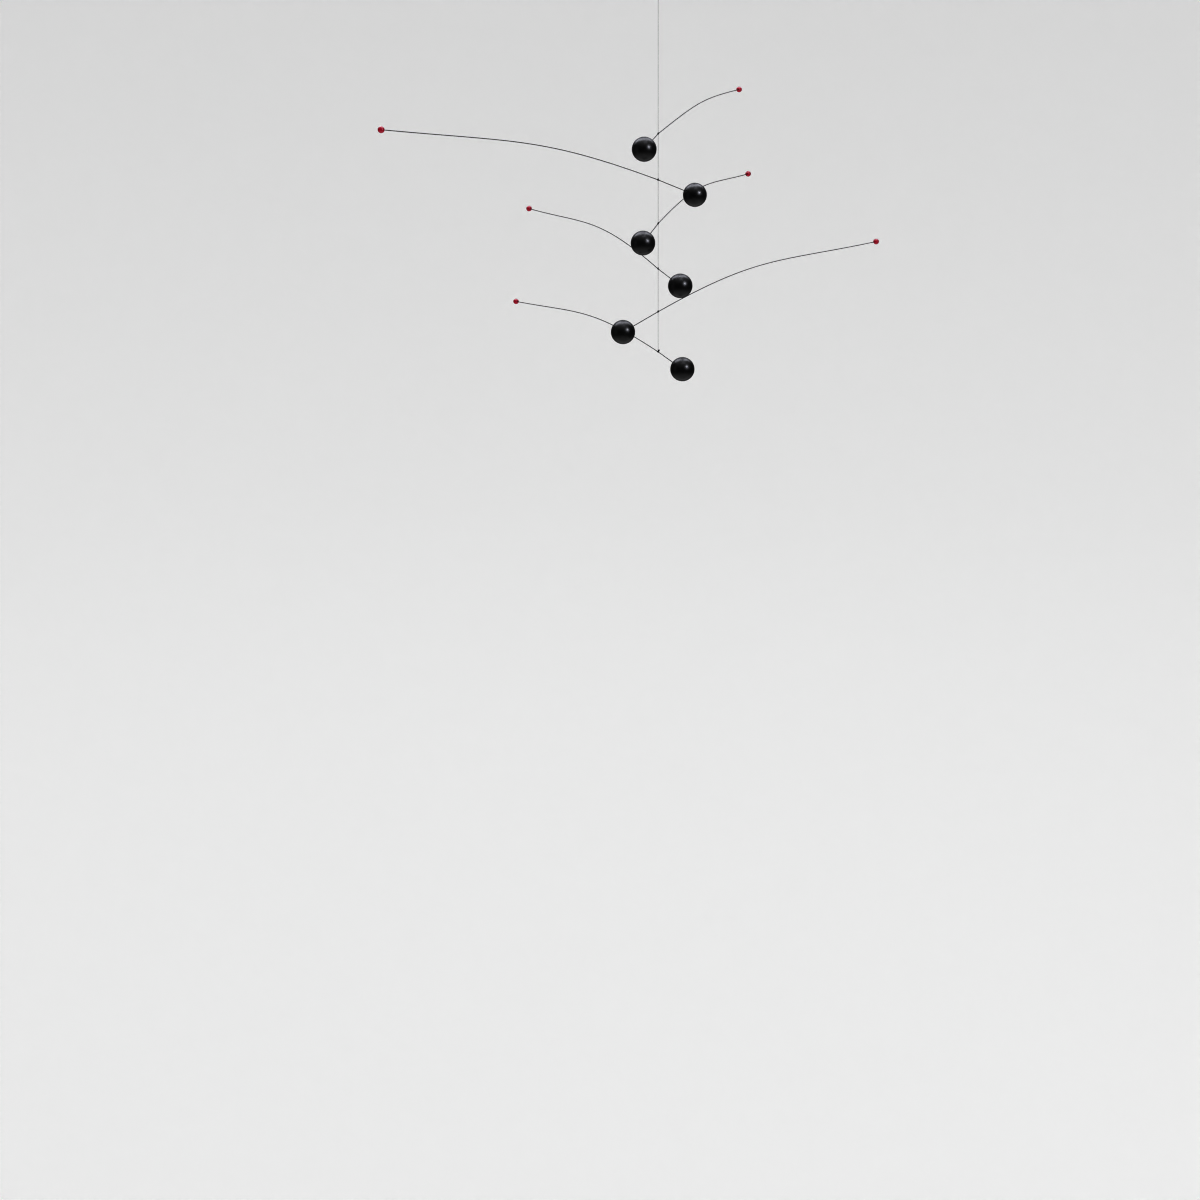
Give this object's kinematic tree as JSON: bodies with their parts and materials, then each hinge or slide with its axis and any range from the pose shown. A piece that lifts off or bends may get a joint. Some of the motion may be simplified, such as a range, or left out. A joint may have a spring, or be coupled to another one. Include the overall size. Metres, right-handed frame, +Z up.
{
  "type": "hanging mobile sculpture",
  "caption": "Hanging mobile of balanced bowed wire arms on a thread, each with a black ball at the short end and a small red bead at the long end.",
  "frame": {"origin": "centre of the ceiling plate's flat top face, on the line of the thread", "axes": "+Z up, out of the ceiling plate's top face; the thread hangs along -Z; +X is to the right and +Y away from the camera in the picture's view"},
  "size_m": [0.7375, 0.7292, 0.5644],
  "materials": {
    "ball": "satin",
    "bead": "gloss",
    "wire": "satin",
    "thread": "matte",
    "plate": "satin"
  },
  "bodies": {
    "ceiling": {"ceiling_plate": "plate", "top_hitch": "thread", "thread_1": "thread"},
    "arm_1": {"arm_1_wire": "wire", "arm_1_ball": "ball", "arm_1_bead": "bead", "arm_1_hitch": "thread", "thread_2": "thread"},
    "arm_2": {"arm_2_wire": "wire", "arm_2_ball": "ball", "arm_2_bead": "bead", "arm_2_hitch": "thread", "thread_3": "thread"},
    "arm_3": {"arm_3_wire": "wire", "arm_3_ball": "ball", "arm_3_bead": "bead", "arm_3_hitch": "thread", "thread_4": "thread"},
    "arm_4": {"arm_4_wire": "wire", "arm_4_ball": "ball", "arm_4_bead": "bead", "arm_4_hitch": "thread", "thread_5": "thread"},
    "arm_5": {"arm_5_wire": "wire", "arm_5_ball": "ball", "arm_5_bead": "bead", "arm_5_hitch": "thread", "thread_6": "thread"},
    "arm_6": {"arm_6_wire": "wire", "arm_6_ball": "ball", "arm_6_bead": "bead", "arm_6_hitch": "thread"}
  },
  "joints": [
    {"name": "swivel_1", "type": "hinge", "parent": "ceiling", "child": "arm_1", "pos_m": [0, 0, -0.2139], "axis": [0, 0, 1], "continuous": true},
    {"name": "swivel_2", "type": "hinge", "parent": "arm_1", "child": "arm_2", "pos_m": [0, 0, -0.2794], "axis": [0, 0, 1], "continuous": true},
    {"name": "swivel_3", "type": "hinge", "parent": "arm_2", "child": "arm_3", "pos_m": [0, 0, -0.3419], "axis": [0, 0, 1], "continuous": true},
    {"name": "swivel_4", "type": "hinge", "parent": "arm_3", "child": "arm_4", "pos_m": [0, 0, -0.4074], "axis": [0, 0, 1], "continuous": true},
    {"name": "swivel_5", "type": "hinge", "parent": "arm_4", "child": "arm_5", "pos_m": [0, 0, -0.4699], "axis": [0, 0, 1], "continuous": true},
    {"name": "swivel_6", "type": "hinge", "parent": "arm_5", "child": "arm_6", "pos_m": [0, 0, -0.5289], "axis": [0, 0, 1], "continuous": true}
  ]
}
